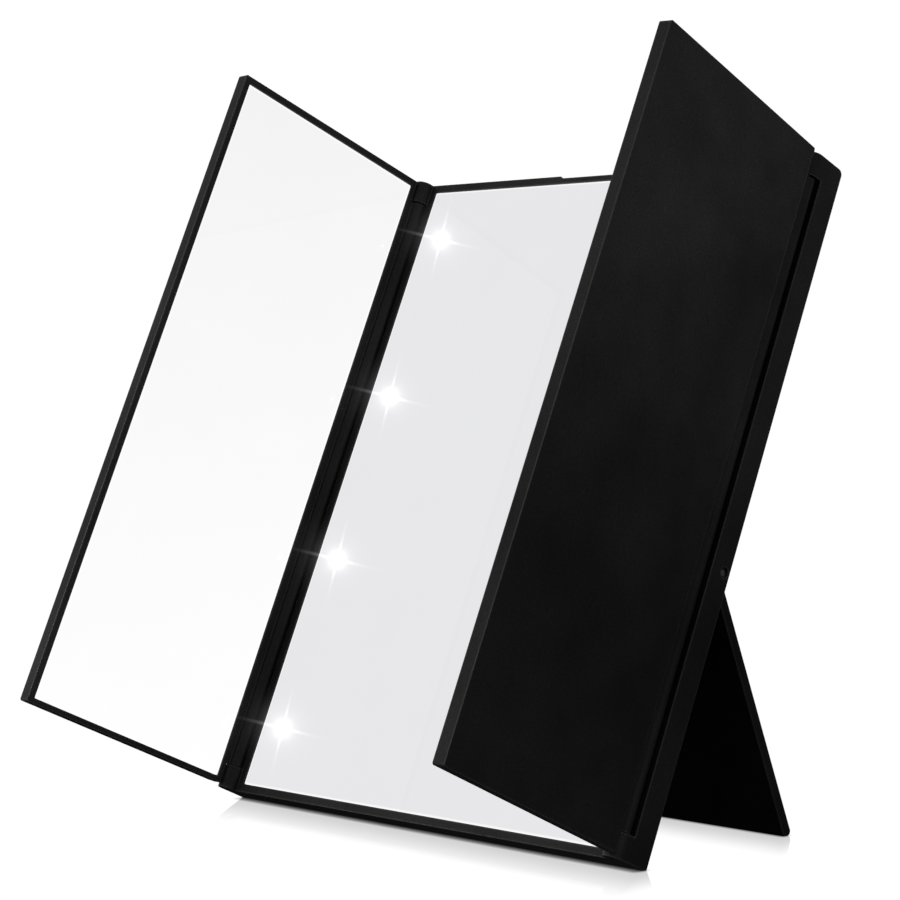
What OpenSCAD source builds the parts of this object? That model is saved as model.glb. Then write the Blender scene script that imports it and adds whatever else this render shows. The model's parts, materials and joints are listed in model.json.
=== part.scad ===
// Folding vanity mirror with lights: a slim body that carries a centre mirror and two rows of lights,
// two mirror wings hinged to its sides, and a flat stand hinged to its back.
//
// Panel frame: X runs across the panel, Y from the front rim towards the back, Z up along the panel, and the
// origin is at the middle of the body's bottom front edge. on_floor() carries the panel frame into the
// model's frame, where Z is up, the floor is z = 0, the body leans back on its stand, and the origin is the
// middle of the flat that the body stands on.

/* [Body] */
// Width of the body across the panel
body_w = 155; // [155:1:170]
// Height of the body along the panel
body_h = 195; // [195:1:215]
// Thickness of the body from its front rim to its back
body_t = 9.1; // [8.9:0.1:10]
// Rounding of the back's top edge
back_round = 1.6; // [0.8:0.1:1.6]
// Depth of the flat that the body stands on, at its bottom back edge
foot_flat = 1; // [0.8:0.1:2.6]
// Lean of the panel from upright when it stands
lean = 25; // [25:0.5:30]

/* [Mirrors] */
// Thickness of the mirror glass
glass_t = 1.8; // [1.5:0.1:1.8]
// Height of the rim that stands above the glass
rim_lip = 0.3; // [0.2:0.05:0.4]
// Width of the centre mirror
centre_mirror_w = 138.4; // [130:0.2:138.4]
// Width of the rim above and below the mirrors
end_rim = 2.6; // [2.2:0.1:4]

/* [Lights] */
// Lights in each row
lights_per_side = 4; // [2:1:4]
// Distance between neighbouring lights
light_pitch = 52; // [30:1:52]
// Distance of each row from the panel's middle line
light_row_x = 60.7; // [58:0.1:61]
// Height of the rows' middle above the body's middle
light_row_up = 0.8; // [0:0.1:2]

/* [Wings] */
// Opening of the left wing from closed
left_open = 94.2; // [0:0.1:180]
// Opening of the right wing from closed
right_open = 93.4; // [0:0.1:180]
// Thickness of a wing
wing_t = 3.7; // [3.7:0.1:4.5]
// Reach of a wing from its hinge axis
wing_reach = 73.7; // [68:0.1:73.7]
// Rounding of a wing's free corners
wing_corner = 0.7; // [0.4:0.1:4]

/* [Stand] */
// Opening of the stand from the body's back
stand_open = 46.7; // [40:0.1:47]
// Thickness of the stand
stand_t = 3; // [2.6:0.1:3]
// Height of the stand's pivot along the panel
stand_pivot_z = 78.9; // [78.9:0.1:90]

/* [Hidden] */
$fn = 64;

// Small distances
eps = 0.05; // how far a cut runs past the solid that it cuts
gap = 0.1; // gap between fixed neighbours
slip = 0.05; // radial clearance of a turning pin
past = 20; // length that is sure to run out of the body
blind_end = 0.4; // plastic left at the blind end of a screw hole

// Depth stack, from the front rim (y = 0) to the back (y = body_t)
tape_t = 0.2;
tape_y = rim_lip + glass_t;
web_y = tape_y + tape_t;
web_t = 1;
web_back = web_y + web_t;
board_y = web_back + gap;
board_t = 0.6;
floor_y = board_y + board_t + gap;
floor_t = 1;
floor_back = floor_y + floor_t;
cover_t = 1.4;
cover_y = body_t - cover_t;

// Walls of the body, the bottom one lower behind the cover to make room for the closed stand's foot
end_wall = 2;
side_wall = 2.8;
foot_wall = 1;
foot_room_y = floor_back + 0.4;
inner_w = body_w - 2 * side_wall;
inner_top = body_h - end_wall;

// Wing hinges: the axis lies just in front of the rim
ear_r = 3;
ear_h = 6.7;
barrel_r = 2.3;
barrel_play = 0.25;
groove_r = barrel_r + barrel_play;
hinge_x = body_w / 2 - ear_r;
hinge_y = -0.6;
slot_back = 1.6;
barrel_gap = 0.2;
barrel_z0 = ear_h + barrel_gap;
barrel_z1 = body_h - barrel_z0;
hinge_pin_r = 0.8;
hinge_pin_inset = 0.6;
hinge_pin_grip = 6;
neck_t = 1.9;

// Wings, drawn opened flat: U runs from the hinge axis to the free edge, V from the mirror side to the back
wing_top_gap = 0.3;
wing_bottom_gap = 0.9;
wing_u0 = 3.3;
wing_z0 = wing_bottom_gap;
wing_z1 = body_h - wing_top_gap;
wing_chamfer = [1.7, 1.2];
wing_hinge_rim = 1.7;
wing_free_rim = 2.2;
wing_mirror_u0 = wing_u0 + wing_hinge_rim;
wing_mirror_w = wing_reach - wing_free_rim - wing_mirror_u0;
mirror_h = body_h - 2 * end_rim;
mirror_corner = 0.3;
mirror_gap = 0.15;
neck_lap = 0.8;
tape_inset = 3;

// Stand: a plate with a round knuckle along its top edge
knuckle_r = 1.7;
stand_pivot_y = floor_back + knuckle_r + gap;
stand_side_gap = 0.4;
stand_w = inner_w - 2 * stand_side_gap;
stand_pin_r = 0.8;
stand_pin_grip = 8;
stand_pin_inset = 0.6;
foot_round = 1.2;
knuckle_room = 3.1;
recess_top = stand_pivot_z + knuckle_room;
step_t = 1.2;
heel_half_t = 0.5;
heel_len = (stand_pivot_y - floor_back - eps - heel_half_t * cos(stand_open)) / sin(stand_open);
heel_w = 20;
heel_x = 50;
dimple_r = 1.4;
dimple_depth = 1;
nail_groove_w = 24;
nail_groove_t = 1;
nail_groove_h = 1.4;
nail_groove_up = 6;

// The body stands on a flat at its bottom back edge, which is level when the body leans
flat_y = body_t - foot_flat;
flat_top = foot_flat * tan(lean);
rise = flat_y * sin(lean);
origin_y = (flat_y + body_t) / 2 * cos(lean) + flat_top / 2 * sin(lean);
pivot_height = rise - stand_pivot_y * sin(lean) + stand_pivot_z * cos(lean);
foot_tilt = stand_open - lean;
stand_len = pivot_height / cos(foot_tilt);

// Battery bay
battery_z = 120;
cell_r = 10;
cell_t = 3.2;
cell_cap_r = 8.5;
cell_cap_t = 0.6;
cell_x = 11.8;
cell_slack = 0.3;
holder_w = 49;
holder_h = 25;
holder_floor = 0.5;
holder_y = web_back + eps;
contact_y = holder_y + holder_floor;
contact_t = 0.15;
cell_y = contact_y + contact_t;
holder_back = 6.7;
clip_t = 0.3;
clip_h = 6;
tail_h = 3;
tail_t = 0.3;
tail_x = 27;
clip_tail_y = 6;
minus_tail_z = battery_z - 2;
contact_play = 0.2;
clip_room = clip_h / 2 + contact_play;
tail_room = tail_h / 2 + contact_play;
link_room = [cell_x - cell_r + 2 * contact_play, cell_x - cell_r + 4 * contact_play];

// Battery door
door_w = 52;
door_h = 30;
door_ledge = 2;
door_skin = 0.8;
door_gap = 0.2;
door_tab_x = 15;
door_tab_w = 6;
door_tab_t = 0.55;
door_tab_reach = 2.5;
door_tab_root = 1.5;
door_corner = 2;
plug_corner = 0.8;
ledge_corner = 1;
door_screw_z = battery_z + 10;

// Screws and their bosses
screw_x = 48;
screw_z_low = recess_top + 10;
screw_z_high = body_h - 11;
screw_r = 0.8;
screw_head_r = 1.75;
screw_head_h = 1;
screw_len = 4.8;
boss_r = 2.2;
boss_back = 6.6;
boss_play = 0.2;
door_screw_r = 0.65;
door_screw_head_r = 1.5;
door_screw_len = 4.6;
door_boss_r = 2;
door_boss_back = 6.4;
head_sink = 0.2;
head_play = 0.15;
shank_play = 0.2;
cross_w = 0.45;
cross_reach = 0.6;

// Tongues that hook the back cover's bottom edge behind the body's bottom wall
tongue_x = 30;
tongue_w = 12;
tongue_t = 0.7;
tongue_len = 1;

// Lights
board_w = 8;
board_end = 8;
led_w = 3.5;
led_h = 2.8;
led_t = 1;
light_hole_r = 2.6;
light_z = [for (i = [0 : lights_per_side - 1])
    body_h / 2 + light_row_up + (i - (lights_per_side - 1) / 2) * light_pitch];
resistor = [1.6, 0.5, 3.2];
resistor_up = 16;
resistor_pitch = 60;

// Switch
switch_w = 8.6;
switch_depth = 3.6;
switch_h = 4;
switch_y = 5.4;
switch_top = inner_top - gap;
switch_travel = 2;
knob_w = 3;
knob_depth = 1.8;
knob_proud = 0.6;
knob_foot = 2.2;
thumb_notch_w = 35.8;
thumb_notch_depth = 0.7;
knob_slot = [knob_w + switch_travel + 2 * gap, knob_depth + 2 * gap];
terminal_pitch = 2.5;
terminal_len = 1.8;
terminal_w = 0.8;
terminal_end = switch_top - switch_h - terminal_len;

// Wires
wire_r = 0.5;
wire_lap = 0.35;
near_y = 5.4;
far_y = 6.6;
pad_y = board_y + board_t;
red_pad_x = light_row_x - 2;
black_pad_x = light_row_x + 1;
red_rise_x = 31;
black_rise_x = 34;
wire_step = 6;
wire_sag = [6, 9];
red_cross_z = battery_z + 30;
black_cross_z = battery_z + 25;
black_tail_y = contact_y + 0.4;

// ---- Helpers ----

// Carries the panel frame into the standing model's frame
module on_floor() translate([0, -origin_y, rise]) rotate([-lean, 0, 0]) children();

// Puts a wing, drawn opened flat, at an opening angle on the right or left hinge
module at_right_hinge() on_floor() translate([hinge_x, hinge_y, 0])
    rotate([0, 0, right_open - 180]) children();
module at_left_hinge() on_floor() mirror([1, 0, 0]) translate([hinge_x, hinge_y, 0])
    rotate([0, 0, left_open - 180]) children();

// Puts the closed stand, drawn with its pivot at the origin, at its opening angle
module at_stand() on_floor() translate([0, stand_pivot_y, stand_pivot_z]) rotate([stand_open, 0, 0])
    children();

// Repeats its children at both sides of the middle
module both_sides() {
    children();
    mirror([1, 0, 0]) children();
}

// Box from one corner to the opposite corner
module box(from, to) translate(from) cube(to - from);

// Rectangle centred on the origin with round corners
module round_rect(size, r) {
    square([size.x - 2 * r, size.y], center = true);
    square([size.x, size.y - 2 * r], center = true);
    for (x = [-1, 1], y = [-1, 1])
        translate([x * (size.x / 2 - r), y * (size.y / 2 - r)]) circle(r);
}

// Plate with round corners in the panel's plane, from depth y0 to y1
module panel_plate(centre_x, centre_z, size, r, y0, y1)
    translate([centre_x, y1, centre_z]) rotate([90, 0, 0]) linear_extrude(y1 - y0) round_rect(size, r);

// Round bar along the panel's depth, from y0 to y1
module depth_bar(x, z, r, y0, y1) translate([x, y1, z]) rotate([90, 0, 0]) cylinder(r = r, h = y1 - y0);

// Round bar across the panel, from x0 to x1
module cross_bar(y, z, r, x0, x1) translate([x0, y, z]) rotate([0, 90, 0]) cylinder(r = r, h = x1 - x0);

// Places of the cover's four screws
module each_cover_screw() for (x = [-screw_x, screw_x], z = [screw_z_low, screw_z_high])
    translate([x, 0, z]) children();

// Cross-head screw along the panel's depth, its head's outer face at y = 0
module cross_screw(r, head_r, head_h, len) {
    difference() {
        depth_bar(0, 0, head_r, -head_h, 0);
        for (turn = [0, 90]) rotate([0, turn, 0])
            box([-head_r * cross_reach, -head_h / 2, -cross_w / 2], [head_r * cross_reach, eps, cross_w / 2]);
    }
    depth_bar(0, 0, r, -len, -head_h);
}

// Wire of round section through a list of points, each stretch running a little past its bends
module wire(points) {
    last = len(points) - 1;
    for (i = [1 : last]) {
        step = points[i] - points[i - 1];
        before = i > 1 ? wire_lap : 0;
        after = i < last ? wire_lap : 0;
        translate(points[i - 1]) rotate([0, atan2(norm([step.x, step.y]), step.z), atan2(step.y, step.x)])
            translate([0, 0, -before]) cylinder(r = wire_r, h = norm(step) + before + after);
    }
}

// ---- Body ----

// Side view of the body: rounded at the back's top edge, with the flat it stands on at the bottom
module body_profile() {
    polygon([
        [0, 0], [flat_y, 0], [body_t, flat_top], [body_t, body_h - back_round],
        [body_t - back_round, body_h], [0, body_h],
    ]);
    translate([body_t - back_round, body_h - back_round]) circle(back_round);
}

// Body outline as a solid
module body_block() translate([-body_w / 2, 0, 0]) rotate([90, 0, 90]) linear_extrude(body_w) body_profile();

// Two round ears that hold one wing's pins
module hinge_ears() for (z = [0, body_h - ear_h]) {
    translate([hinge_x, hinge_y, z]) cylinder(r = ear_r, h = ear_h);
    box([hinge_x - ear_r, hinge_y, z], [hinge_x + ear_r, slot_back, z + ear_h]);
}

// Room for one wing's barrel and neck
module hinge_groove() {
    translate([hinge_x, hinge_y, ear_h]) cylinder(r = groove_r, h = body_h - 2 * ear_h);
    box([hinge_x, -ear_r, ear_h], [hinge_x + past, slot_back, body_h - ear_h]);
}

module front_frame() color("#1b1b1c") on_floor() difference() {
    union() {
        difference() {
            union() {
                body_block();
                both_sides() hinge_ears();
            }
            panel_plate(0, body_h / 2, [centre_mirror_w + 2 * mirror_gap, mirror_h + 2 * mirror_gap],
                mirror_corner, -past, web_y);
            box([-inner_w / 2, web_back, end_wall], [inner_w / 2, body_t + past, inner_top]);
            both_sides() hinge_groove();
            both_sides() for (z = light_z)
                depth_bar(light_row_x, z, light_hole_r, web_y - eps, web_back + eps);
            // Room for the closed stand's foot
            box([-inner_w / 2, foot_room_y, foot_wall], [inner_w / 2, body_t + past, end_wall + eps]);
            // Thumb notch and slot of the switch in the top wall
            box([-thumb_notch_w / 2, -eps, body_h - thumb_notch_depth],
                [thumb_notch_w / 2, body_t + eps, body_h + eps]);
            knob_slot_cut(inner_top - eps, body_h + eps);
            // Slots for the back cover's tongues
            both_sides() tongue(gap);
            // Round dimple in the side around each stand pin's end
            both_sides() cross_bar(stand_pivot_y, stand_pivot_z, dimple_r, body_w / 2 - dimple_depth,
                body_w / 2 + eps);
        }
        each_cover_screw() depth_bar(0, 0, boss_r, web_back - eps, boss_back);
        depth_bar(0, door_screw_z, door_boss_r, web_back - eps, door_boss_back);
    }
    each_cover_screw() depth_bar(0, 0, screw_r, web_back + blind_end, boss_back + eps);
    depth_bar(0, door_screw_z, door_screw_r, web_back + blind_end, door_boss_back + eps);
    both_sides() for (z = [-eps, body_h - ear_h - eps])
        translate([hinge_x, hinge_y, z]) cylinder(r = hinge_pin_r + slip, h = ear_h + 2 * eps);
    both_sides()
        cross_bar(stand_pivot_y, stand_pivot_z, stand_pin_r + slip, inner_w / 2 - eps, body_w / 2 + eps);
}

// Slot that the switch's knob slides in, from height z0 to z1
module knob_slot_cut(z0, z1)
    translate([-knob_slot.x / 2, switch_y - knob_slot.y / 2, z0]) cube([knob_slot.x, knob_slot.y, z1 - z0]);

// Tongue of the back cover, grown by a margin for its slot
module tongue(margin = 0) box([tongue_x - margin, floor_y - margin, end_wall - tongue_len - margin],
    [tongue_x + tongue_w + margin, floor_y + tongue_t + margin, end_wall + gap + eps]);

// Side view of the back cover: floor of the stand's recess, step and upper back
module cover_profile() {
    bottom = end_wall + gap;
    top = inner_top - gap;
    polygon([
        [floor_y, bottom], [floor_back, bottom], [floor_back, recess_top], [body_t, recess_top],
        [body_t, top], [cover_y, top], [cover_y, recess_top + step_t], [floor_y, recess_top + step_t],
    ]);
}

module back_cover() color("#1b1b1c") on_floor() difference() {
    union() {
        translate([-inner_w / 2 + gap, 0, 0]) rotate([90, 0, 90]) linear_extrude(inner_w - 2 * gap)
            cover_profile();
        both_sides() tongue();
        each_cover_screw() depth_bar(0, 0, boss_r, boss_back + gap, cover_y + eps);
    }
    each_cover_screw() {
        depth_bar(0, 0, screw_r + shank_play, boss_back, body_t);
        depth_bar(0, 0, screw_head_r + head_play, body_t - head_sink - screw_head_h, body_t + eps);
    }
    // Opening of the battery bay, with the ledge that the door rests on
    panel_plate(0, battery_z, [door_w, door_h], door_corner, body_t - door_skin, body_t + eps);
    panel_plate(0, battery_z, [door_w - 2 * door_ledge, door_h - 2 * door_ledge], ledge_corner, cover_y - eps,
        body_t);
}

module centre_mirror() color("#dfe3e6") on_floor()
    panel_plate(0, body_h / 2, [centre_mirror_w, mirror_h], mirror_corner, rim_lip, tape_y);

module centre_mirror_tape() color("#f2efe6") on_floor() difference() {
    panel_plate(0, body_h / 2, [centre_mirror_w - 2 * tape_inset, mirror_h - 2 * tape_inset], mirror_corner,
        tape_y, web_y);
    both_sides() for (z = light_z) depth_bar(light_row_x, z, light_hole_r, tape_y - eps, web_y + eps);
}

// ---- Lights ----

module led_board() color("#e9ebe6")
    box([light_row_x - board_w / 2, board_y, board_end],
        [light_row_x + board_w / 2, board_y + board_t, body_h - board_end]);

module leds() color("#fff6d8") for (z = light_z)
    box([light_row_x - led_w / 2, board_y - led_t, z - led_h / 2],
        [light_row_x + led_w / 2, board_y, z + led_h / 2]);

module left_led_board() on_floor() mirror([1, 0, 0]) led_board();
module right_led_board() on_floor() led_board();
module left_leds() on_floor() mirror([1, 0, 0]) leds();
module right_leds() on_floor() leds();

// One small resistor on the back of each board for each pair of lights
module led_resistors() color("#2a2a2c") on_floor() both_sides() for (i = [0, 1])
    translate([light_row_x - resistor.x / 2, pad_y, recess_top + resistor_up + i * resistor_pitch])
        cube(resistor);

// ---- Battery bay ----

module battery_holder() color("#26272a") on_floor() difference() {
    box([-holder_w / 2, holder_y, battery_z - holder_h / 2],
        [holder_w / 2, holder_back, battery_z + holder_h / 2]);
    both_sides() depth_bar(cell_x, battery_z, cell_r + cell_slack, contact_y, holder_back + eps);
    // Channel of the series link, and slots of the clip and of the two tails
    box([-link_room[0], contact_y, battery_z - clip_room],
        [link_room[1], holder_back + eps, battery_z + clip_room]);
    box([cell_x + cell_r - eps, contact_y, battery_z - clip_room],
        [cell_x + cell_r + 4 * contact_play, holder_back + eps, battery_z + clip_room]);
    box([cell_x + cell_r, clip_tail_y - gap, battery_z - tail_room],
        [holder_w / 2 + eps, holder_back + eps, battery_z + tail_room]);
    box([-holder_w / 2 - eps, contact_y, minus_tail_z - tail_room],
        [1 - cell_x - cell_r, contact_y + 1, minus_tail_z + tail_room]);
    depth_bar(0, door_screw_z, boss_r + boss_play, holder_y - eps, holder_back + eps);
}

// Two coin cells, 20 mm across and 3.2 mm thick
module coin_cells() color("#c9ccd0") on_floor() both_sides() {
    depth_bar(cell_x, battery_z, cell_cap_r, cell_y, cell_y + cell_cap_t);
    depth_bar(cell_x, battery_z, cell_r, cell_y + cell_cap_t, cell_y + cell_t);
}

// Clip on the rim of the right cell, with a tail for the red wire
module plus_contact() color("#c8b273") on_floor() {
    clip_x = cell_x + cell_r;
    box([clip_x, cell_y + cell_cap_t, battery_z - clip_h / 2],
        [clip_x + clip_t, holder_back, battery_z + clip_h / 2]);
    box([clip_x, clip_tail_y, battery_z - tail_h / 2],
        [tail_x, clip_tail_y + tail_t, battery_z + tail_h / 2]);
}

// Leaf under the left cell, with a tail for the black wire
module minus_contact() color("#c8b273") on_floor() {
    depth_bar(-cell_x, battery_z, clip_h, contact_y, cell_y);
    box([-tail_x, contact_y, minus_tail_z - tail_h / 2], [-cell_x, cell_y, minus_tail_z + tail_h / 2]);
}

// Strip from the rim of the left cell to the leaf under the right cell
module series_link() color("#c8b273") on_floor() {
    rim_x = -cell_x + cell_r;
    box([rim_x, contact_y, battery_z - clip_h / 2], [rim_x + clip_t, holder_back, battery_z + clip_h / 2]);
    box([rim_x, contact_y, battery_z - clip_h / 2], [cell_x, cell_y, battery_z + clip_h / 2]);
    depth_bar(cell_x, battery_z, clip_h, contact_y, cell_y);
}

module battery_door() color("#1b1b1c") on_floor() {
    plug = [door_w - 2 * (door_ledge + door_gap), door_h - 2 * (door_ledge + door_gap)];
    plug_bottom = battery_z - plug.y / 2;
    skin_y = body_t - door_skin + eps;
    tab_y = cover_y - gap - door_tab_t;
    difference() {
        union() {
            panel_plate(0, battery_z, [door_w - 2 * door_gap, door_h - 2 * door_gap], door_corner - door_gap,
                skin_y, body_t - eps);
            panel_plate(0, battery_z, plug, plug_corner, cover_y, skin_y + eps);
            depth_bar(0, door_screw_z, boss_r, door_boss_back + gap, cover_y + eps);
            // Tabs that hook behind the cover's bottom ledge
            both_sides() {
                box([door_tab_x, tab_y, plug_bottom - door_tab_reach],
                    [door_tab_x + door_tab_w, tab_y + door_tab_t, plug_bottom + door_tab_root]);
                box([door_tab_x, tab_y, plug_bottom],
                    [door_tab_x + door_tab_w, cover_y + eps, plug_bottom + door_tab_root]);
            }
        }
        depth_bar(0, door_screw_z, door_screw_r + shank_play, door_boss_back, body_t);
        depth_bar(0, door_screw_z, door_screw_head_r + head_play, body_t - head_sink - screw_head_h,
            body_t + eps);
    }
}

module battery_door_screw() color("#9a9ca0") on_floor() translate([0, body_t - head_sink, door_screw_z])
    cross_screw(door_screw_r, door_screw_head_r, screw_head_h, door_screw_len);

module cover_screws() color("#9a9ca0") on_floor() each_cover_screw() translate([0, body_t - head_sink, 0])
    cross_screw(screw_r, screw_head_r, screw_head_h, screw_len);

// ---- Switch and wires ----

module switch_body() color("#8d9094") on_floor() difference() {
    box([-switch_w / 2, switch_y - switch_depth / 2, switch_top - switch_h],
        [switch_w / 2, switch_y + switch_depth / 2, switch_top]);
    knob_slot_cut(switch_top - knob_foot - gap, switch_top + eps);
}

module switch_terminals() color("#c8b273") on_floor() for (i = [-1 : 1])
    translate([i * terminal_pitch, switch_y, switch_top - switch_h - terminal_len / 2])
        cube([terminal_w, terminal_w, terminal_len], center = true);

// Slider of the switch, at its "on" end
module switch_knob() color("#1b1b1c") on_floor() translate([switch_travel / 2, 0, 0]) {
    top = body_h - thumb_notch_depth + knob_proud;
    box([-knob_w / 2, switch_y - knob_depth / 2, switch_top - knob_foot],
        [knob_w / 2, switch_y + knob_depth / 2, top]);
}

module red_wires() color("#b3261e") on_floor() {
    // From the battery's clip to the switch
    wire([[tail_x, clip_tail_y, battery_z], [red_rise_x, clip_tail_y, battery_z],
        [red_rise_x, near_y, battery_z + wire_step], [red_rise_x, near_y, terminal_end - wire_sag[0]],
        [terminal_pitch, near_y, terminal_end - wire_sag[0]], [terminal_pitch, switch_y, terminal_end]]);
    // From the switch to the left board
    wire([[0, switch_y, terminal_end], [0, near_y, terminal_end - wire_sag[1]],
        [-red_pad_x, near_y, terminal_end - wire_sag[1]], [-red_pad_x, pad_y, terminal_end - wire_sag[1]]]);
    // From the left board to the right board
    wire([[-red_pad_x, pad_y, red_cross_z], [-red_pad_x, far_y, red_cross_z],
        [red_pad_x, far_y, red_cross_z], [red_pad_x, pad_y, red_cross_z]]);
}

module black_wires() color("#141414") on_floor() {
    // From the battery's leaf to the left board
    wire([[-tail_x, black_tail_y, minus_tail_z], [-red_rise_x, black_tail_y, minus_tail_z],
        [-black_rise_x, near_y, minus_tail_z], [-black_pad_x, near_y, minus_tail_z],
        [-black_pad_x, pad_y, minus_tail_z]]);
    // From the left board to the right board
    wire([[-black_pad_x, pad_y, black_cross_z], [-black_pad_x, far_y, black_cross_z],
        [black_pad_x, far_y, black_cross_z], [black_pad_x, pad_y, black_cross_z]]);
}

// ---- Wings ----

// Cross-section of the wing's plate, with a chamfer where the back meets the hinge side
module wing_section() polygon([
    [wing_u0, 0], [wing_reach, 0], [wing_reach, wing_t], [wing_u0 + wing_chamfer.x, wing_t],
    [wing_u0, wing_t - wing_chamfer.y],
]);

// Outline of the wing's plate: square at the hinge side, rounded at the free corners
module wing_outline() translate([wing_reach / 2, (wing_z0 + wing_z1) / 2]) {
    round_rect([wing_reach, wing_z1 - wing_z0], wing_corner);
    translate([-wing_corner / 2, 0]) square([wing_reach - wing_corner, wing_z1 - wing_z0], center = true);
}

module wing_shell() difference() {
    union() {
        intersection() {
            translate([0, 0, wing_z0]) linear_extrude(wing_z1 - wing_z0) wing_section();
            translate([0, wing_t + eps, 0]) rotate([90, 0, 0]) linear_extrude(wing_t + 2 * eps)
                wing_outline();
        }
        // Neck and barrel between the ears
        box([0, 0, barrel_z0], [wing_u0 + neck_lap, neck_t, barrel_z1]);
        translate([0, 0, barrel_z0]) cylinder(r = barrel_r, h = barrel_z1 - barrel_z0);
    }
    panel_plate(wing_mirror_u0 + wing_mirror_w / 2, body_h / 2,
        [wing_mirror_w + 2 * mirror_gap, mirror_h + 2 * mirror_gap], mirror_corner, -eps, web_y);
    for (z = [barrel_z0 - eps, barrel_z1 - hinge_pin_grip])
        translate([0, 0, z]) cylinder(r = hinge_pin_r, h = hinge_pin_grip + eps);
}

module wing_mirror() panel_plate(wing_mirror_u0 + wing_mirror_w / 2, body_h / 2, [wing_mirror_w, mirror_h],
    mirror_corner, rim_lip, tape_y);

module wing_tape() panel_plate(wing_mirror_u0 + wing_mirror_w / 2, body_h / 2,
    [wing_mirror_w - 2 * tape_inset, mirror_h - 2 * tape_inset], mirror_corner, tape_y, web_y);

// Two pins, pressed into the barrel and turning in the ears
module hinge_pins() {
    pin_len = barrel_z0 + hinge_pin_grip - hinge_pin_inset - gap;
    for (z = [hinge_pin_inset, body_h - hinge_pin_inset - pin_len])
        translate([0, 0, z]) cylinder(r = hinge_pin_r, h = pin_len);
}

module left_wing_shell() color("#1b1b1c") at_left_hinge() wing_shell();
module left_wing_mirror() color("#dfe3e6") at_left_hinge() wing_mirror();
module left_wing_tape() color("#f2efe6") at_left_hinge() wing_tape();
module left_hinge_pins() color("#b8bbbf") at_left_hinge() hinge_pins();
module right_wing_shell() color("#1b1b1c") at_right_hinge() wing_shell();
module right_wing_mirror() color("#dfe3e6") at_right_hinge() wing_mirror();
module right_wing_tape() color("#f2efe6") at_right_hinge() wing_tape();
module right_hinge_pins() color("#b8bbbf") at_right_hinge() hinge_pins();

// ---- Stand ----

// Side view of the closed stand, pivot at the origin: knuckle, plate, and a foot cut parallel to the floor
// with its outer corner rounded
module stand_profile() {
    outer_y = knuckle_r;
    inner_y = knuckle_r - stand_t;
    round_y = outer_y - foot_round;
    round_z = foot_round / cos(foot_tilt) - stand_len - round_y * tan(foot_tilt);
    circle(knuckle_r);
    polygon([
        [inner_y, 0], [outer_y, 0], [outer_y, round_z], [round_y, round_z],
        [round_y - foot_round * sin(foot_tilt), round_z - foot_round * cos(foot_tilt)],
        [inner_y, -stand_len - inner_y * tan(foot_tilt)],
    ]);
    translate([round_y, round_z]) circle(foot_round);
}

module stand_plate() color("#141415") at_stand() difference() {
    union() {
        translate([-stand_w / 2, 0, 0]) rotate([90, 0, 90]) linear_extrude(stand_w) stand_profile();
        // Heels that meet the recess floor when the stand is fully open
        both_sides() box([heel_x, -heel_half_t, 0], [heel_x + heel_w, heel_half_t, heel_len]);
    }
    // Groove for a fingernail, to pull the stand out
    box([-nail_groove_w / 2, knuckle_r - nail_groove_t, -stand_len + nail_groove_up],
        [nail_groove_w / 2, knuckle_r + eps, -stand_len + nail_groove_up + nail_groove_h]);
    both_sides() cross_bar(0, 0, stand_pin_r, stand_w / 2 - stand_pin_grip, stand_w / 2 + eps);
}

// Two pins, pressed into the knuckle and turning in the side walls
module stand_pins() color("#b8bbbf") at_stand() both_sides()
    cross_bar(0, 0, stand_pin_r, stand_w / 2 - stand_pin_grip + gap, body_w / 2 - stand_pin_inset);

front_frame();
back_cover();
centre_mirror();
centre_mirror_tape();
left_led_board();
right_led_board();
left_leds();
right_leds();
led_resistors();
battery_holder();
coin_cells();
plus_contact();
minus_contact();
series_link();
battery_door();
battery_door_screw();
cover_screws();
switch_body();
switch_terminals();
switch_knob();
red_wires();
black_wires();
left_wing_shell();
left_wing_mirror();
left_wing_tape();
left_hinge_pins();
right_wing_shell();
right_wing_mirror();
right_wing_tape();
right_hinge_pins();
stand_plate();
stand_pins();
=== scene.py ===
"""Looks of the folding vanity mirror with lights: finishes for every CAD node, the light windows in the
centre mirror, the camera, the lights and the floor. Lengths are in metres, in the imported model's frame."""

import json
import math

import bmesh
import bpy
from mathutils import Matrix, Vector


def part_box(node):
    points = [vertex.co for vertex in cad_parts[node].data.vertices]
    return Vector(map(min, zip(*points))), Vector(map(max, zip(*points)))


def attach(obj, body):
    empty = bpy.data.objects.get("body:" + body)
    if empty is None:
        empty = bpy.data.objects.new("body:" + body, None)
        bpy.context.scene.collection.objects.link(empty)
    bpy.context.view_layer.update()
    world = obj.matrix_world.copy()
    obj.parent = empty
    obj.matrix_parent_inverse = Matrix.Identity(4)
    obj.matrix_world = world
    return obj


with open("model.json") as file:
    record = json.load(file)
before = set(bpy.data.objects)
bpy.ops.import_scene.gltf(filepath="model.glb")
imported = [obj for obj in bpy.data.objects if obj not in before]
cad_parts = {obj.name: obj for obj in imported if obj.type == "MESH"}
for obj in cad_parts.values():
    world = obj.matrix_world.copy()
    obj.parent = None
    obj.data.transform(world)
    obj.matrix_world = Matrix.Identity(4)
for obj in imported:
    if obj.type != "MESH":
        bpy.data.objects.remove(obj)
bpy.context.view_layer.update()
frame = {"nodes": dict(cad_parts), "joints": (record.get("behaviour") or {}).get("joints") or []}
nodes = frame["nodes"]

MM = 0.001
WHITE = (1.0, 1.0, 1.0, 1.0)

# The panel leans back about X. Its "up" is the direction of the wings' hinges.
hinge = next(joint for joint in frame["joints"] if joint["name"] == "right_wing_hinge")
PANEL_RIGHT = Vector((1, 0, 0))
PANEL_UP = Vector(hinge["axis"]).normalized()
PANEL_FRONT = PANEL_RIGHT.cross(PANEL_UP)


# ---- Node graphs ----

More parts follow.
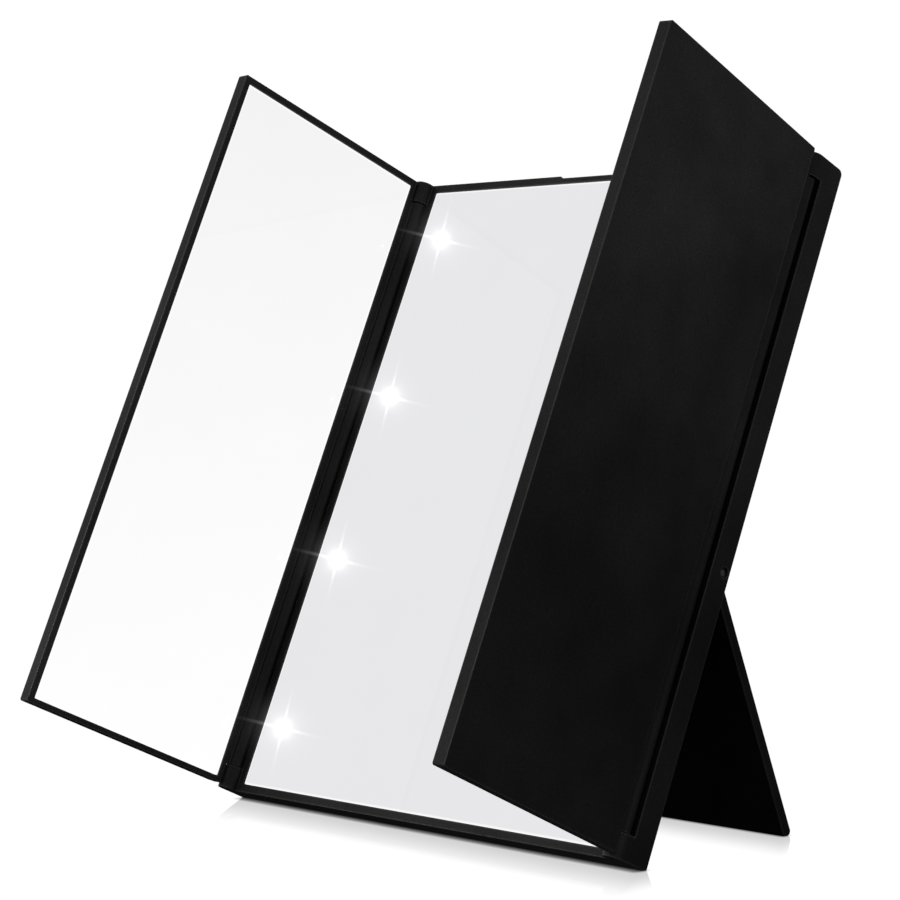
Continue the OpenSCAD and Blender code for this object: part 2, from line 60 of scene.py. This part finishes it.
class Graph:
    """A small wrapper that makes shader nodes and links them."""

    def __init__(self, tree):
        self.tree = tree

    def add(self, kind, inputs=None, **settings):
        node = self.tree.nodes.new(kind)
        for key, value in settings.items():
            setattr(node, key, value)
        for key, value in (inputs or {}).items():
            self.feed(node.inputs[key], value)
        return node

    def feed(self, socket, value):
        if isinstance(value, bpy.types.NodeSocket):
            self.tree.links.new(value, socket)
        else:
            socket.default_value = value

    def math(self, operation, a, b=0.0, clamp=False):
        return self.add("ShaderNodeMath", {0: a, 1: b}, operation=operation, use_clamp=clamp).outputs[0]

    def vector(self, operation, a, b, output=0):
        return self.add("ShaderNodeVectorMath", {0: a, 1: b}, operation=operation).outputs[output]

    def scale(self, vector, factor):
        node = self.add("ShaderNodeVectorMath", {0: vector, "Scale": factor}, operation="SCALE")
        return node.outputs[0]

    def height(self, vector):
        return self.add("ShaderNodeSeparateXYZ", {0: vector}).outputs["Z"]

    def emission(self, tone):
        return self.add("ShaderNodeEmission", {"Color": (tone, tone, tone, 1.0), "Strength": 1.0}).outputs[0]

    def remap(self, value, low, high, to_low=0.0, to_high=1.0, kind="LINEAR"):
        node = self.add("ShaderNodeMapRange", {
            "Value": value, "From Min": low, "From Max": high, "To Min": to_low, "To Max": to_high,
        }, interpolation_type=kind)
        return node.outputs["Result"]

    def mix(self, factor, a, b):
        node = self.add("ShaderNodeMix", {0: factor, 6: a, 7: b}, data_type="RGBA")
        return node.outputs[2]

    def mix_shader(self, factor, a, b):
        return self.add("ShaderNodeMixShader", {0: factor, 1: a, 2: b}).outputs[0]

    def noise(self, coords, scale, detail=3.0, roughness=0.6):
        node = self.add("ShaderNodeTexNoise", {
            "Vector": coords, "Scale": scale, "Detail": detail, "Roughness": roughness,
        })
        return node.outputs["Fac"]

    def spread(self, noise, low, high):
        """Stretches the middle range of a noise texture over low to high."""
        return self.remap(noise, 0.3, 0.7, low, high)

    def ramp(self, value, stops):
        node = self.add("ShaderNodeValToRGB", {"Fac": value})
        elements = node.color_ramp.elements
        while len(elements) < len(stops):
            elements.new(0.5)
        for element, (position, colour) in zip(elements, stops):
            element.position = position
            element.color = (*colour, 1.0)
        return node.outputs["Color"]


def new_material(name):
    material = bpy.data.materials.new(name)
    material.use_nodes = True
    material.node_tree.nodes.clear()
    return material, Graph(material.node_tree)


# A reflection in the floor fades out at this height of what it shows
REFLECTION_HEIGHT = 6 * MM
# Brightness of the studio near the horizon, as shiny surfaces see it
HORIZON = 0.4
# A ray that starts below this height comes from the floor
FLOOR_SKIN = 0.5 * MM


def end_material(graph, shader):
    """Joins a shader to the output. Its reflection in the floor fades with the height of what it shows."""
    path = graph.add("ShaderNodeLightPath")
    place = graph.add("ShaderNodeNewGeometry")
    back = graph.scale(place.outputs["Incoming"], path.outputs["Ray Length"])
    start = graph.vector("ADD", place.outputs["Position"], back)
    from_floor = graph.math("LESS_THAN", graph.height(start), FLOOR_SKIN)
    faded = graph.remap(graph.height(place.outputs["Position"]), 0.0, REFLECTION_HEIGHT, kind="SMOOTHSTEP")
    hidden = graph.math("MULTIPLY", graph.math("MULTIPLY", from_floor, faded), path.outputs["Is Glossy Ray"])
    surface = graph.mix_shader(hidden, shader, graph.emission(HORIZON))
    graph.add("ShaderNodeOutputMaterial", {"Surface": surface})


def edge_mask(graph, radius, least_turn):
    """1 along edges and corners, 0 on flat faces: how far a rounded normal turns from the true one."""
    rounded = graph.add("ShaderNodeBevel", {"Radius": radius}, samples=4).outputs["Normal"]
    plain = graph.add("ShaderNodeNewGeometry").outputs["Normal"]
    turn = graph.vector("DOT_PRODUCT", rounded, plain, "Value")
    return graph.remap(turn, 1.0, 1.0 - least_turn)


# Textures' scales, in waves per metre
CLOUD_SCALE = 16.0
SMUDGE_SCALE = 90.0
BRUSH_SCALE = 900.0
DULL_SCALE = 260.0
HAZE_SCALE = 45.0
STAIN_SCALE = 120.0
WRINKLE_SCALE = 600.0
# An edge carries a painted highlight, this much lighter than the face beside it, and is this much smoother
# from wear
EDGE_HIGHLIGHT_GAIN = 3.0
EDGE_HIGHLIGHT_TONE = 0.012
WORN_POLISH = 0.12
# How far the painted edge highlight and the wear reach from an edge, and how sharp a turn has to be to count
# as an edge
HIGHLIGHT_AND_WEAR_REACH = 0.6 * MM
HIGHLIGHT_AND_WEAR_TURN = 0.03
# How far the painted highlight along the mirror glass's edges reaches, and how sharp a turn has to be to
# count
GLASS_HIGHLIGHT_REACH = 0.9 * MM
GLASS_HIGHLIGHT_TURN = 0.02


def plastic(name, base, roughness=0.45, specular=0.2, grain=0.4 * MM, grain_depth=0.01 * MM, highlight_and_wear=0.8):
    """Moulded plastic: fine spark-eroded grain, cloudy gloss, a painted highlight along edges that are also
    a little smoother from wear.
    """
    material, g = new_material(name)
    coords = g.add("ShaderNodeTexCoord").outputs["Object"]
    clouds = g.noise(coords, CLOUD_SCALE, roughness=0.55)
    smudges = g.noise(coords, SMUDGE_SCALE, detail=4.0)
    fine = g.noise(coords, 1.0 / grain, detail=2.0)
    edge = g.math("MULTIPLY", edge_mask(g, HIGHLIGHT_AND_WEAR_REACH, HIGHLIGHT_AND_WEAR_TURN), highlight_and_wear)
    tone = g.math("MULTIPLY", g.spread(clouds, 0.55, 1.35), g.spread(fine, 0.9, 1.1))
    # Edges are painted lighter here: a painted highlight along the rounded edges
    highlit = g.mix(edge, g.scale(base, tone), (*[c * EDGE_HIGHLIGHT_GAIN + EDGE_HIGHLIGHT_TONE for c in base], 1.0))
    rough = g.spread(smudges, roughness - 0.06, roughness + 0.08)
    rough = g.math("SUBTRACT", rough, g.math("MULTIPLY", edge, WORN_POLISH))
    gloss = g.spread(clouds, specular * 0.6, specular * 1.25)
    gloss = g.math("MULTIPLY", gloss, g.spread(fine, 0.65, 1.35))
    bump = g.add("ShaderNodeBump", {"Strength": 0.6, "Distance": grain_depth, "Height": fine})
    shader = g.add("ShaderNodeBsdfPrincipled", {
        "Base Color": highlit, "Roughness": rough, "Specular IOR Level": gloss, "Normal": bump.outputs[0],
    })
    end_material(g, shader.outputs[0])
    return material


def metal(name, base, roughness=0.3, brushed=(1.0, 1.0, 12.0), tint=0.15):
    """Plated metal with a drawn or brushed grain and slightly dulled patches."""
    material, g = new_material(name)
    coords = g.add("ShaderNodeTexCoord").outputs["Object"]
    stretched = g.vector("MULTIPLY", coords, brushed)
    lines = g.noise(stretched, BRUSH_SCALE)
    patches = g.noise(coords, DULL_SCALE)
    dull = g.mix(g.remap(patches, 0.35, 0.75, 0.0, tint), (*base, 1.0), (*[c * 0.45 for c in base], 1.0))
    rough = g.spread(lines, roughness - 0.08, roughness + 0.12)
    bump = g.add("ShaderNodeBump", {"Strength": 0.35, "Distance": 0.004 * MM, "Height": lines})
    shader = g.add("ShaderNodeBsdfPrincipled", {
        "Base Color": dull, "Metallic": 1.0, "Roughness": rough, "Normal": bump.outputs[0],
    })
    end_material(g, shader.outputs[0])
    return material


# Painted reflection of a pale studio, which the mirrors glow with: its colour by the height of the reflected
# direction
PAINTED_REFLECTION_COLOURS = [
    (-1.0, (0.85, 0.85, 0.86)),
    (-0.6, (0.90, 0.90, 0.905)),
    (-0.3, (1.02, 1.02, 1.02)),
    (-0.17, (1.02, 1.02, 1.02)),
    (-0.03, (0.975, 0.975, 0.975)),
    (0.11, (0.92, 0.92, 0.92)),
    (0.32, (0.809, 0.809, 0.826)),
    (0.7, (0.80, 0.80, 0.817)),
]
# A mirror that looks towards the front glows with this painted reflection colour at any height
FRONT_REFLECTION_COLOUR = (0.804, 0.804, 0.821, 1.0)
FRONT_FROM = 0.0
FRONT_TO = -0.4
# Tone of the painted highlight along the glass's bevelled edges
PAINTED_EDGE_HIGHLIGHT = 1.05


def painted_studio_reflection(g, direction):
    """Colour of the painted reflection of a pale studio that a mirror glows with, by the reflected
    direction.
    """
    low = PAINTED_REFLECTION_COLOURS[0][0]
    span = PAINTED_REFLECTION_COLOURS[-1][0] - low
    stops = [((height - low) / span, colour) for height, colour in PAINTED_REFLECTION_COLOURS]
    parts = g.add("ShaderNodeSeparateXYZ", {0: direction})
    by_height = g.ramp(g.remap(parts.outputs["Z"], low, low + span), stops)
    frontward = g.remap(parts.outputs["Y"], FRONT_FROM, FRONT_TO)
    return g.mix(frontward, by_height, FRONT_REFLECTION_COLOUR)


def mirror_glass(name, clear=0.015):
    """Silvered glass: it glows with a painted reflection of a pale studio, adds a weak true reflection of
    what is near, and has painted highlights along its edges.
    """
    material, g = new_material(name)
    coords = g.add("ShaderNodeTexCoord")
    haze = g.noise(coords.outputs["Object"], HAZE_SCALE, roughness=0.55)
    tone = g.scale(painted_studio_reflection(g, coords.outputs["Reflection"]), g.spread(haze, 0.995, 1.005))
    # Mask of the painted highlight along the glass's edges
    edge = edge_mask(g, GLASS_HIGHLIGHT_REACH, GLASS_HIGHLIGHT_TURN)
    painted_glow = g.mix(edge, tone, (PAINTED_EDGE_HIGHLIGHT, PAINTED_EDGE_HIGHLIGHT, PAINTED_EDGE_HIGHLIGHT, 1.0))
    # The glass glows with its painted reflection: an emission, not a true reflection
    glow = g.add("ShaderNodeEmission", {"Color": painted_glow, "Strength": 1.0}).outputs[0]
    rough = g.spread(haze, 0.0, 0.03)
    sharp = g.add("ShaderNodeBsdfGlossy", {"Color": (0.95, 0.96, 0.96, 1.0), "Roughness": rough}).outputs[0]
    end_material(g, g.mix_shader(clear, glow, sharp))
    return material


def film(name, base):
    """Adhesive film: matt, slightly wrinkled, with faint stains."""
    material, g = new_material(name)
    coords = g.add("ShaderNodeTexCoord").outputs["Object"]
    stain = g.noise(coords, STAIN_SCALE)
    wrinkle = g.noise(coords, WRINKLE_SCALE)
    colour = g.mix(g.remap(stain, 0.4, 0.8), (*base, 1.0), (*[c * 0.8 for c in base], 1.0))
    bump = g.add("ShaderNodeBump", {"Strength": 0.4, "Distance": 0.02 * MM, "Height": wrinkle})
    shader = g.add("ShaderNodeBsdfPrincipled", {
        "Base Color": colour, "Roughness": 0.7, "Normal": bump.outputs[0],
    })
    end_material(g, shader.outputs[0])
    return material


# The hot core of a light begins at this value of the mesh's "core" attribute
CORE_START = 0.68


def lamp(name, colour, strength, speckle=2500.0, mirrored=0.1, core=0.0):
    """A lit surface: phosphor or frosted glass with a fine speckle, and a hot core where the mesh's
    "core" attribute nears 1. It is dimmer in reflections."""
    material, g = new_material(name)
    coords = g.add("ShaderNodeTexCoord").outputs["Object"]
    grain = g.noise(coords, speckle, detail=2.0)
    bright = g.spread(grain, strength * 0.85, strength * 1.15)
    if core:
        nearness = g.add("ShaderNodeAttribute", attribute_name="core").outputs["Fac"]
        bright = g.math("ADD", bright, g.remap(nearness, CORE_START, 1.0, 0.0, core))
    glossy_ray = g.add("ShaderNodeLightPath").outputs["Is Glossy Ray"]
    shown = g.math("MULTIPLY", bright, g.remap(glossy_ray, 0.0, 1.0, 1.0, mirrored))
    glow = g.add("ShaderNodeEmission", {"Color": (*colour, 1.0), "Strength": shown})
    body = g.add("ShaderNodeBsdfPrincipled", {"Base Color": (*colour, 1.0), "Roughness": 0.4})
    end_material(g, g.add("ShaderNodeAddShader", {0: glow.outputs[0], 1: body.outputs[0]}).outputs[0])
    return material


# ---- Finishes of the CAD nodes ----

black_plastic = plastic("black_plastic", (0.0055, 0.0055, 0.0057), specular=0.17)
# The stand's plastic is a slightly darker, less shiny copy of the black plastic: painted shade for its
# shaded inner face
dark_plastic = plastic("dark_plastic", (0.0045, 0.0045, 0.0047), roughness=0.4, specular=0.14)
knob_plastic = plastic("knob_plastic", (0.012, 0.012, 0.0125), roughness=0.4)
holder_plastic = plastic("holder_plastic", (0.03, 0.03, 0.034), roughness=0.55)
mirror_silver = mirror_glass("mirror_glass")
tape_film = film("tape", (0.86, 0.84, 0.78))
board_white = plastic(
    "circuit_board", (0.78, 0.79, 0.76), roughness=0.35, specular=0.5, grain=0.9 * MM, highlight_and_wear=0.1)
led_phosphor = lamp("led", (1.0, 0.95, 0.82), 6.0)
resistor_black = plastic("resistor", (0.02, 0.02, 0.02), roughness=0.3, specular=0.5)
cell_steel = metal("cell_steel", (0.62, 0.63, 0.64))
contact_brass = metal("contact_brass", (0.72, 0.56, 0.28))
# Steel darkened as painted shade, so the pin ends read as shaded in their holes
pin_steel = metal("pin_steel", (0.13, 0.13, 0.135), roughness=0.4)
screw_steel = metal("screw_steel", (0.45, 0.46, 0.48), roughness=0.35)
switch_steel = metal("switch_steel", (0.50, 0.51, 0.53), roughness=0.4)
red_insulation = plastic("red_wire", (0.45, 0.016, 0.012), roughness=0.4, specular=0.5, highlight_and_wear=0.1)
black_insulation = plastic("black_wire", (0.016, 0.016, 0.017), roughness=0.4, specular=0.5, highlight_and_wear=0.1)

FINISHES = {
    "front_frame": black_plastic, "back_cover": black_plastic, "battery_door": black_plastic,
    "left_wing_shell": black_plastic, "right_wing_shell": black_plastic,
    "stand_plate": dark_plastic, "switch_knob": knob_plastic, "battery_holder": holder_plastic,
    "centre_mirror": mirror_silver, "left_wing_mirror": mirror_silver, "right_wing_mirror": mirror_silver,
    "centre_mirror_tape": tape_film, "left_wing_tape": tape_film, "right_wing_tape": tape_film,
    "left_led_board": board_white, "right_led_board": board_white,
    "left_leds": led_phosphor, "right_leds": led_phosphor, "led_resistors": resistor_black,
    "coin_cells": cell_steel, "plus_contact": contact_brass, "minus_contact": contact_brass,
    "series_link": contact_brass, "switch_terminals": contact_brass,
    "battery_door_screw": screw_steel, "cover_screws": screw_steel,
    "left_hinge_pins": pin_steel, "right_hinge_pins": pin_steel, "stand_pins": pin_steel,
    "switch_body": switch_steel, "red_wires": red_insulation, "black_wires": black_insulation,
}

for node_name, finish in FINISHES.items():
    node = nodes[node_name]
    if not node.material_slots:
        node.data.materials.append(finish)
    for slot in node.material_slots:
        slot.material = finish


# ---- Soft edges of the CAD nodes ----

def edge_picker(min_length, angle):
    """Geometry nodes that shade smoothly up to an angle and mark the longer sharp edges for the bevel."""
    tree = bpy.data.node_groups.new("edge_picker", "GeometryNodeTree")
    tree.interface.new_socket("Geometry", in_out="INPUT", socket_type="NodeSocketGeometry")
    tree.interface.new_socket("Geometry", in_out="OUTPUT", socket_type="NodeSocketGeometry")
    g = Graph(tree)
    source = g.add("NodeGroupInput")
    turn = g.add("GeometryNodeInputMeshEdgeAngle").outputs["Unsigned Angle"]
    ends = g.add("GeometryNodeInputMeshEdgeVertices")
    length = g.vector("DISTANCE", ends.outputs["Position 1"], ends.outputs["Position 2"], "Value")
    greater = {"data_type": "FLOAT", "operation": "GREATER_THAN"}
    sharp = g.add("FunctionNodeCompare", {0: turn, 1: angle}, **greater)
    long = g.add("FunctionNodeCompare", {0: length, 1: min_length}, **greater)
    both = g.add("FunctionNodeBooleanMath", {0: sharp.outputs[0], 1: long.outputs[0]}, operation="AND")
    smooth = g.add("GeometryNodeSetShadeSmooth", {"Geometry": source.outputs[0], "Shade Smooth": True})
    split = g.add("GeometryNodeSetShadeSmooth", {
        "Geometry": smooth.outputs[0], "Selection": sharp.outputs[0], "Shade Smooth": False,
    }, domain="EDGE")
    stored = g.add("GeometryNodeStoreNamedAttribute", {
        "Geometry": split.outputs[0], "Name": "bevel_weight_edge",
    }, data_type="FLOAT", domain="EDGE")
    g.feed(stored.inputs["Value"], both.outputs[0])
    g.add("NodeGroupOutput", {0: stored.outputs[0]})
    return tree


SHORTEST_EDGE = 0.2 * MM
SHARP_ANGLE = math.radians(35)
FLAT_ANGLE = math.radians(0.6)
WELD_DISTANCE = 0.001 * MM
PICKER = edge_picker(SHORTEST_EDGE, SHARP_ANGLE)


def soften(node, width):
    """Joins the node's split vertices, merges its flat faces and rounds its longer edges."""
    weld = node.modifiers.new("weld", "WELD")
    weld.merge_threshold = WELD_DISTANCE
    flat = node.modifiers.new("flat", "DECIMATE")
    flat.decimate_type = "DISSOLVE"
    flat.angle_limit = FLAT_ANGLE
    pick = node.modifiers.new("pick", "NODES")
    pick.node_group = PICKER
    bevel = node.modifiers.new("edges", "BEVEL")
    bevel.limit_method = "WEIGHT"
    bevel.width = width
    bevel.segments = 2
    bevel.use_clamp_overlap = False
    bevel.harden_normals = True


# Widths of the rounded edges, in millimetres
SMALL_PART_EDGE = 0.04
SOFT_EDGES = {
    "front_frame": 0.16, "back_cover": 0.16, "battery_door": 0.1, "left_wing_shell": 0.22,
    "right_wing_shell": 0.22, "stand_plate": 0.2, "switch_knob": 0.12, "centre_mirror": 0.16,
    "left_wing_mirror": 0.16, "right_wing_mirror": 0.16,
}
for node_name in nodes:
    soften(nodes[node_name], SOFT_EDGES.get(node_name, SMALL_PART_EDGE) * MM)


# ---- Light windows: round frosted patches of the centre mirror in front of the lights ----

LIGHTS = 4
LIGHT_PITCH = 52 * MM
# The centre mirror's own thickness, to find its front face from the middle of its box
MIRROR_THICKNESS = 1.8 * MM
WINDOW_R = 2.1 * MM
# The window's middle stands this far in front of the glass, and its rim this far behind the glass's face
WINDOW_PROUD = 0.03 * MM
WINDOW_SUNK = 0.01 * MM
WINDOW_RINGS = 6
WINDOW_STEPS = 40
WINDOW_STRENGTH = 5.0
WINDOW_SPECKLE = 1800.0
CORE_STRENGTH = 110.0

mirror_low, mirror_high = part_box("centre_mirror")
mirror_front = (mirror_low + mirror_high) / 2 + PANEL_FRONT * MIRROR_THICKNESS / 2
window_glow = lamp("window_glow", (1.0, 1.0, 0.99), WINDOW_STRENGTH, WINDOW_SPECKLE, core=CORE_STRENGTH)


def light_window(name, centre):
    """A thin domed disc that lies on the mirror's front."""
    mesh = bmesh.new()
    top = mesh.verts.new(centre + PANEL_FRONT * WINDOW_PROUD)
    last = [top]
    for ring in range(1, WINDOW_RINGS + 1):
        share = ring / WINDOW_RINGS
        height = WINDOW_PROUD * (1 - share ** 2)
        if ring == WINDOW_RINGS:
            height = -WINDOW_SUNK
        row = []
        for step in range(WINDOW_STEPS):
            angle = 2 * math.pi * step / WINDOW_STEPS
            offset = (PANEL_RIGHT * math.cos(angle) + PANEL_UP * math.sin(angle)) * WINDOW_R * share
            row.append(mesh.verts.new(centre + offset + PANEL_FRONT * height))
        for step in range(WINDOW_STEPS):
            after = (step + 1) % WINDOW_STEPS
            if ring == 1:
                mesh.faces.new((top, row[step], row[after]))
            else:
                mesh.faces.new((last[step], row[step], row[after], last[after]))
        last = row
    mesh.faces.new(reversed(last))
    bmesh.ops.recalc_face_normals(mesh, faces=mesh.faces)
    data = bpy.data.meshes.new(name)
    mesh.to_mesh(data)
    mesh.free()
    for face in data.polygons:
        face.use_smooth = True
    core = data.attributes.new("core", "FLOAT", "POINT")
    for vertex, value in zip(data.vertices, core.data):
        value.value = 1 - (vertex.co - centre).length / WINDOW_R
    data.materials.append(window_glow)
    piece = bpy.data.objects.new(name, data)
    bpy.context.scene.collection.objects.link(piece)
    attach(piece, "body")


for side in ("left", "right"):
    led_low, led_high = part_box(f"{side}_leds")
    row_middle = (led_low + led_high) / 2
    row_middle += PANEL_FRONT * (mirror_front - row_middle).dot(PANEL_FRONT)
    for i in range(LIGHTS):
        up = (i - (LIGHTS - 1) / 2) * LIGHT_PITCH
        light_window(f"{side}_light_window_{i + 1}", row_middle + PANEL_UP * up)


# ---- Floor ----

FLOOR_TONE = 0.62
FLOOR_SHINE = 1.0
FLOOR_ROUGHNESS = 0.03
MOTTLE_SCALE = 30.0
# Reach of the painted contact shade, which darkens the floor's glow near parts close above it
CONTACT_SHADE_REACH = 1.8 * MM
FLOOR_HALF = 6.0
# The floor as dull surfaces see it
BOUNCE = 0.03
# The floor as shiny surfaces see it: dim near the mirror, as bright as the horizon far off, brighter from
# straight above
NEAR_FLOOR = 0.01
NEAR_REACH = 0.3
FAR_REACH = 1.8
STEEP_FROM = 0.88
STEEP_TO = 0.98


def floor_material():
    """Pale glossy studio floor with painted contact shade, dimmer to what it lights or is mirrored in."""
    material, g = new_material("studio_floor")
    path = g.add("ShaderNodeLightPath")
    coords = g.add("ShaderNodeTexCoord").outputs["Object"]
    mottle = g.spread(g.noise(coords, MOTTLE_SCALE), FLOOR_TONE, FLOOR_TONE * 1.02)
    # Painted contact shade: ambient occlusion darkens the floor's glow near parts
    open_sky = g.add("ShaderNodeAmbientOcclusion", {"Distance": CONTACT_SHADE_REACH}, samples=16).outputs["AO"]
    strength = g.math("MULTIPLY", mottle, open_sky)
    base = g.add("ShaderNodeEmission", {"Color": WHITE, "Strength": strength})
    shine_colour = (FLOOR_SHINE, FLOOR_SHINE, FLOOR_SHINE, 1.0)
    shine = g.add("ShaderNodeBsdfGlossy", {"Color": shine_colour, "Roughness": FLOOR_ROUGHNESS})
    seen = g.add("ShaderNodeAddShader", {0: base.outputs[0], 1: shine.outputs[0]}).outputs[0]
    place = g.add("ShaderNodeNewGeometry")
    distance = g.vector("LENGTH", place.outputs["Position"], (0, 0, 0), "Value")
    mirrored = g.remap(distance, NEAR_REACH, FAR_REACH, NEAR_FLOOR, HORIZON, "SMOOTHSTEP")
    steep = g.remap(g.height(place.outputs["Incoming"]), STEEP_FROM, STEEP_TO)
    mirrored = g.math("ADD", mirrored, steep)
    mirrored = g.add("ShaderNodeEmission", {"Color": WHITE, "Strength": mirrored}).outputs[0]
    unseen = g.mix_shader(path.outputs["Is Glossy Ray"], g.emission(BOUNCE), mirrored)
    shader = g.mix_shader(path.outputs["Is Camera Ray"], unseen, seen)
    g.add("ShaderNodeOutputMaterial", {"Surface": shader})
    return material


floor_mesh = bpy.data.meshes.new("floor")
corners = [(x * FLOOR_HALF, y * FLOOR_HALF, 0.0) for x, y in ((-1, -1), (1, -1), (1, 1), (-1, 1))]
floor_mesh.from_pydata(corners, [], [(0, 1, 2, 3)])
floor_mesh.materials.append(floor_material())
floor = bpy.data.objects.new("floor", floor_mesh)
bpy.context.scene.collection.objects.link(floor)


# ---- World: white to the camera, a soft studio to everything else ----

BACKDROP = 1.02
SKY_LIGHT = 0.35
CEILING = 0.7
HIGH_START = 0.15

world = bpy.data.worlds.new("studio")
bpy.context.scene.world = world
world.use_nodes = True
world.node_tree.nodes.clear()
w = Graph(world.node_tree)
path = w.add("ShaderNodeLightPath")
direction = w.add("ShaderNodeTexCoord").outputs["Generated"]
studio = w.remap(w.height(direction), HIGH_START, 1.0, HORIZON, CEILING, "SMOOTHSTEP")
glossy = w.add("ShaderNodeBackground", {"Color": WHITE, "Strength": studio}).outputs[0]
soft = w.add("ShaderNodeBackground", {"Color": WHITE, "Strength": SKY_LIGHT}).outputs[0]
white = w.add("ShaderNodeBackground", {"Color": WHITE, "Strength": BACKDROP}).outputs[0]
lighting = w.mix_shader(path.outputs["Is Glossy Ray"], soft, glossy)
w.add("ShaderNodeOutputWorld", {"Surface": w.mix_shader(path.outputs["Is Camera Ray"], lighting, white)})


# ---- Lights ----

MIDDLE = (0, 0, 0.1)
LEFT_WING = (-0.08, -0.08, 0.1)
# Name, place, what it points at, side length, and power in watts
STUDIO_LIGHTS = [
    ("key", (-0.33, -0.42, 0.22), MIDDLE, 0.3, 1.8),
    ("edge", (-0.15, -0.27, 0.16), LEFT_WING, 0.12, 1.4),
    ("fill", (1.3, -0.2, 0.5), MIDDLE, 0.8, 6.0),
    ("back", (-0.5, 1.1, 0.7), MIDDLE, 0.8, 35.0),
    ("top", (0.0, 0.3, 1.4), MIDDLE, 1.2, 2.0),
]


def area_light(name, place, target, size, power):
    """A soft square light, which neither the camera nor a shiny surface sees."""
    data = bpy.data.lights.new(name, "AREA")
    data.shape = "RECTANGLE"
    data.size = size
    data.size_y = size
    data.energy = power
    light = bpy.data.objects.new(name, data)
    light.location = place
    light.rotation_mode = "QUATERNION"
    light.rotation_quaternion = (Vector(target) - Vector(place)).to_track_quat("-Z", "Y")
    bpy.context.scene.collection.objects.link(light)
    light.visible_camera = False
    light.visible_glossy = False


for light in STUDIO_LIGHTS:
    area_light(*light)


# ---- Camera, at the photograph's viewing angle ----

CAMERA_PLACE = (0.509133, -0.490993, 0.131996)
CAMERA_AZIMUTH = -47.4566
CAMERA_ELEVATION = -1.3469
CAMERA_ROLL = -0.7465
LENS = 105.073
SHIFT_X = 0.10212
SHIFT_Y = -0.04987

camera_data = bpy.data.cameras.new("camera")
camera_data.sensor_width = 36.0
camera_data.lens = LENS
camera_data.shift_x = SHIFT_X
camera_data.shift_y = SHIFT_Y
camera_data.clip_start = 0.01
camera_data.clip_end = 50.0
camera = bpy.data.objects.new("camera", camera_data)
bpy.context.scene.collection.objects.link(camera)
azimuth = math.radians(CAMERA_AZIMUTH)
elevation = math.radians(CAMERA_ELEVATION)
look = Vector((math.sin(azimuth) * math.cos(elevation), math.cos(azimuth) * math.cos(elevation),
               math.sin(elevation)))
level = look.cross(Vector((0, 0, 1))).normalized()
level_up = level.cross(look)
roll = math.radians(CAMERA_ROLL)
right = level * math.cos(roll) + level_up * math.sin(roll)
up = right.cross(look)
turn = Matrix((right, up, -look)).transposed()
camera.matrix_world = Matrix.Translation(CAMERA_PLACE) @ turn.to_4x4()
bpy.context.scene.camera = camera


# ---- Picture: stars of thin rays and a soft halo round the lights ----

STAR_THRESHOLD = 8.0
STAR_STRENGTH = 0.18
STAR_RAYS = 4
STAR_TURN = math.radians(76)
HALO_THRESHOLD = 2.0
HALO_STRENGTH = 0.9
HALO_SIZE = 0.07

scene = bpy.context.scene
scene.view_settings.view_transform = "Standard"

scene.use_nodes = True
picture = Graph(scene.node_tree)
scene.node_tree.nodes.clear()
layers = picture.add("CompositorNodeRLayers")
star = picture.add("CompositorNodeGlare", {
    "Image": layers.outputs["Image"], "Threshold": STAR_THRESHOLD, "Strength": STAR_STRENGTH,
    "Streaks": STAR_RAYS, "Streaks Angle": STAR_TURN, "Iterations": 4, "Fade": 0.9, "Color Modulation": 0.0,
}, glare_type="STREAKS", quality="HIGH")
halo = picture.add("CompositorNodeGlare", {
    "Image": star.outputs["Image"], "Threshold": HALO_THRESHOLD, "Strength": HALO_STRENGTH,
    "Size": HALO_SIZE,
}, glare_type="BLOOM", quality="HIGH")
picture.add("CompositorNodeComposite", {"Image": halo.outputs["Image"]})
